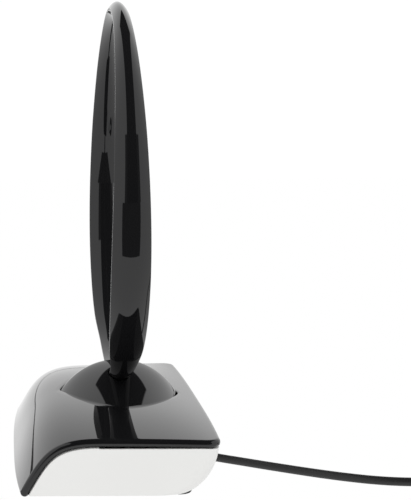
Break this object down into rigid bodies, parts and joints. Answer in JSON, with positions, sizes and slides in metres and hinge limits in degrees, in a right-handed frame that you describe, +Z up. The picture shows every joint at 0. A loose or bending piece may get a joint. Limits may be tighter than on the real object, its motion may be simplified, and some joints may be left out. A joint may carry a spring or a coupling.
{
  "type": "indoor television antenna",
  "caption": "Table-top television aerial: a closed gloss loop tilts on a spindle hub set in a low crowned base, with a coaxial lead from the rear.",
  "frame": {"origin": "on the table, at the middle of the base's footprint", "axes": "+Z up, -X towards the front edge whose cover rolls down to the table, +X towards the lead, Y along the base and the loop's plane"},
  "size_m": [0.3014, 0.223, 0.2567],
  "materials": {
    "gloss_black": "high-gloss moulded black plastic, polished like a mirror",
    "pale_shell": "satin, finely textured off-white moulded plastic",
    "rubber": "matt black rubber",
    "lead_jacket": "satin black flexible PVC",
    "steel": "zinc-plated steel",
    "plated_contact": "bright nickel plate",
    "loop_metal": "plain rolled aluminium strip",
    "copper_wire": "enamelled copper wire",
    "board": "green solder mask on glass-epoxy board",
    "ferrite": "dark grey sintered ferrite",
    "inner_plastic": "as-moulded black plastic",
    "nylon": "natural white nylon"
  },
  "bodies": {
    "base": {"top_cover": "gloss_black", "lower_shell": "pale_shell", "foot_1": "rubber", "foot_2": "rubber", "foot_3": "rubber", "foot_4": "rubber", "strain_relief": "rubber", "inner_lead": "lead_jacket", "cord": "lead_jacket", "cord_coil": "lead_jacket", "cord_tail": "lead_jacket", "coil_tie": "lead_jacket", "plug_body": "lead_jacket", "ballast_plate": "steel", "clamp_screw": "steel", "pivot_screw_1": "steel", "pivot_screw_2": "steel", "pivot_screw_3": "steel", "pivot_screw_4": "steel", "ballast_screw_1": "steel", "ballast_screw_2": "steel", "board_screw_1": "steel", "board_screw_2": "steel", "cover_screw_1": "steel", "cover_screw_2": "steel", "cover_screw_3": "steel", "cover_screw_4": "steel", "plug_sleeve": "plated_contact", "plug_pin": "plated_contact", "transformer_winding": "copper_wire", "circuit_board": "board", "transformer_core": "ferrite", "pivot_cap_near": "inner_plastic", "pivot_cap_far": "inner_plastic", "cord_clamp": "inner_plastic", "plug_insulator": "nylon"},
    "loop": {"loop_outer_band": "gloss_black", "loop_inner_band": "gloss_black", "loop_conductor": "loop_metal", "hub_shell": "gloss_black", "hub_frame": "inner_plastic", "pivot_pin_near": "steel", "pivot_pin_far": "steel", "friction_washer_near": "nylon", "friction_washer_far": "nylon", "loop_screw_1": "steel", "loop_screw_2": "steel"}
  },
  "joints": [
    {"name": "loop_tilt", "type": "hinge", "parent": "base", "child": "loop", "pos_m": [0.0065, 0, 0.0133], "axis": [0, 1, 0], "range_deg": [-15, 15]}
  ]
}
